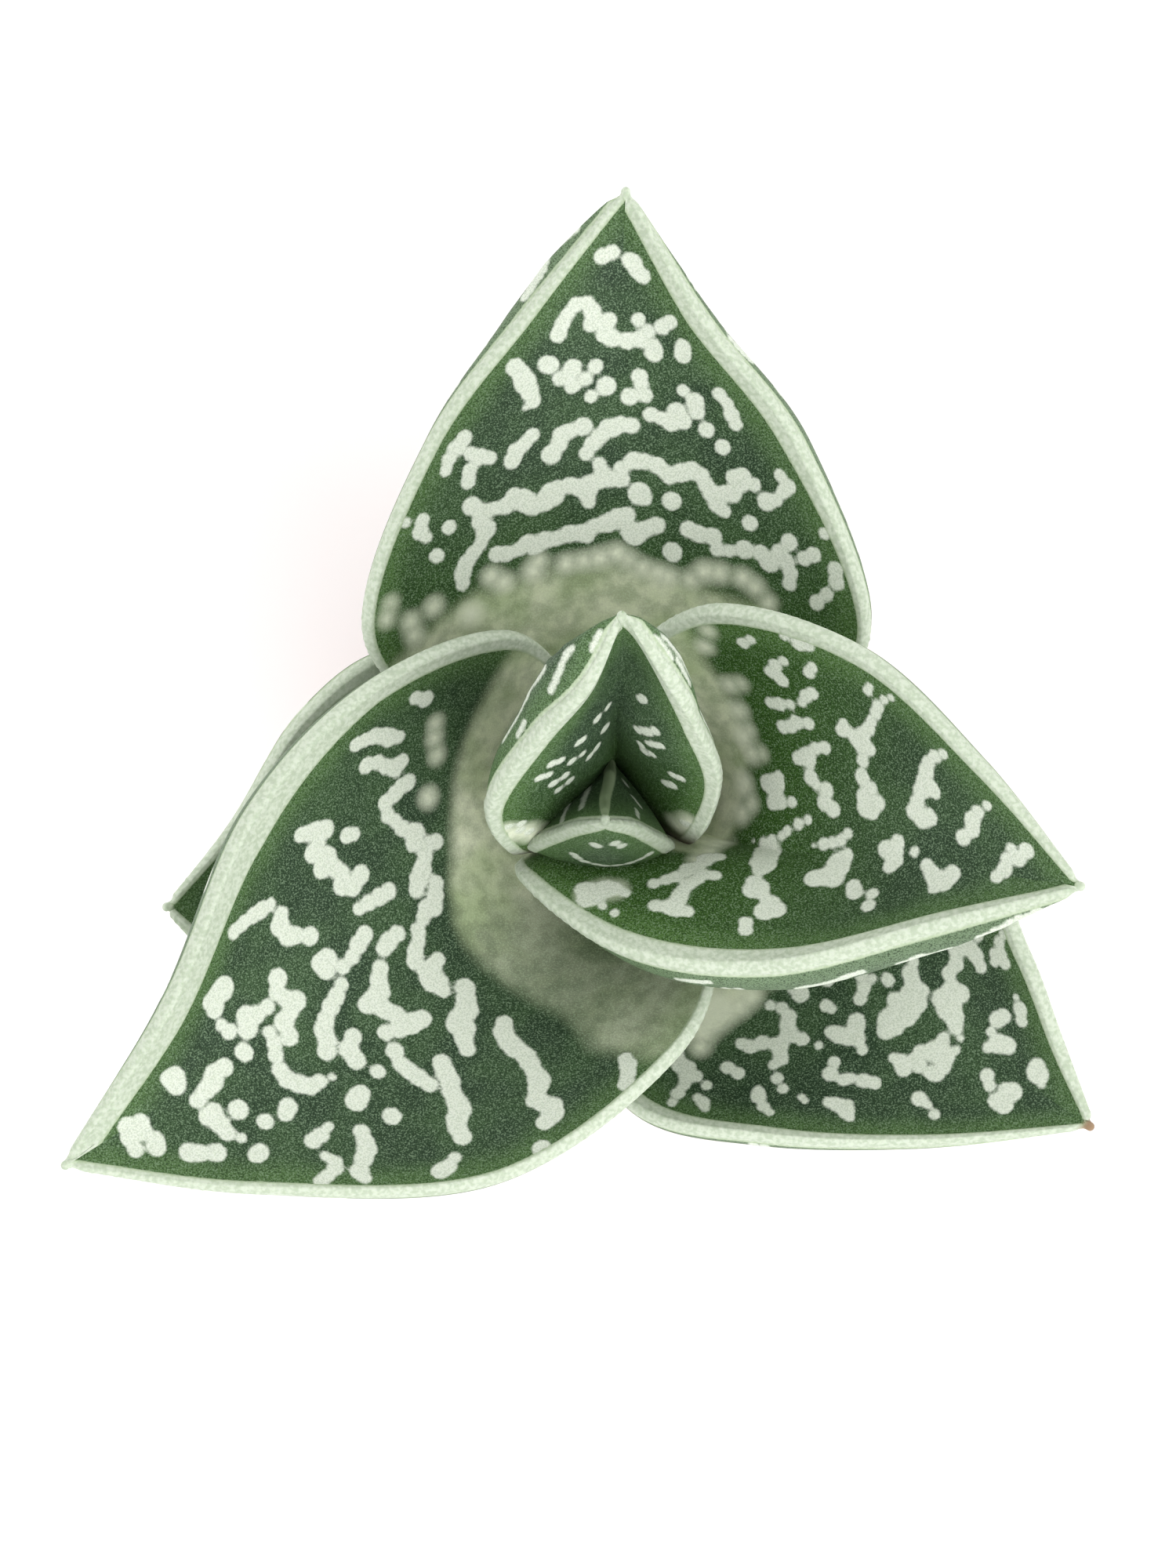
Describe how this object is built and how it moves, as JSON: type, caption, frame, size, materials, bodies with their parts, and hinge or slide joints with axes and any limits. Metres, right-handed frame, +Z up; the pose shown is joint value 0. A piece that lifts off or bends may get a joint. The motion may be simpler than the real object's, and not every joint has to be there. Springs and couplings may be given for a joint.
{
  "type": "potted tiger aloe plant",
  "caption": "Young tiger aloe in a small round nursery pot: keeled, white-spotted, pale-edged succulent leaves in three overlapping ranks on a short stem.",
  "frame": {"origin": "middle of the pot's flat underside", "axes": "+Z up along the pot's axis, +Y towards the tip of the back leaf, +X to the right for someone looking down with +Y away"},
  "size_m": [0.0983, 0.0958, 0.1021],
  "materials": {
    "leaf": "satin green skin with greenish-white spots in wavy cross bands and a pale horny margin",
    "stem": "matt pale green-brown bark with leaf scars",
    "soil": "matt crumbly potting mix with pale grit",
    "pot": "matt moulded plastic, terracotta colour"
  },
  "bodies": {
    "root": {"pot": "pot", "soil": "soil", "stem": "stem", "leaf_lower_right": "leaf", "leaf_lower_left": "leaf", "leaf_back": "leaf", "leaf_front_left": "leaf", "leaf_front_right": "leaf", "leaf_inner": "leaf", "leaf_bud": "leaf"}
  },
  "joints": []
}
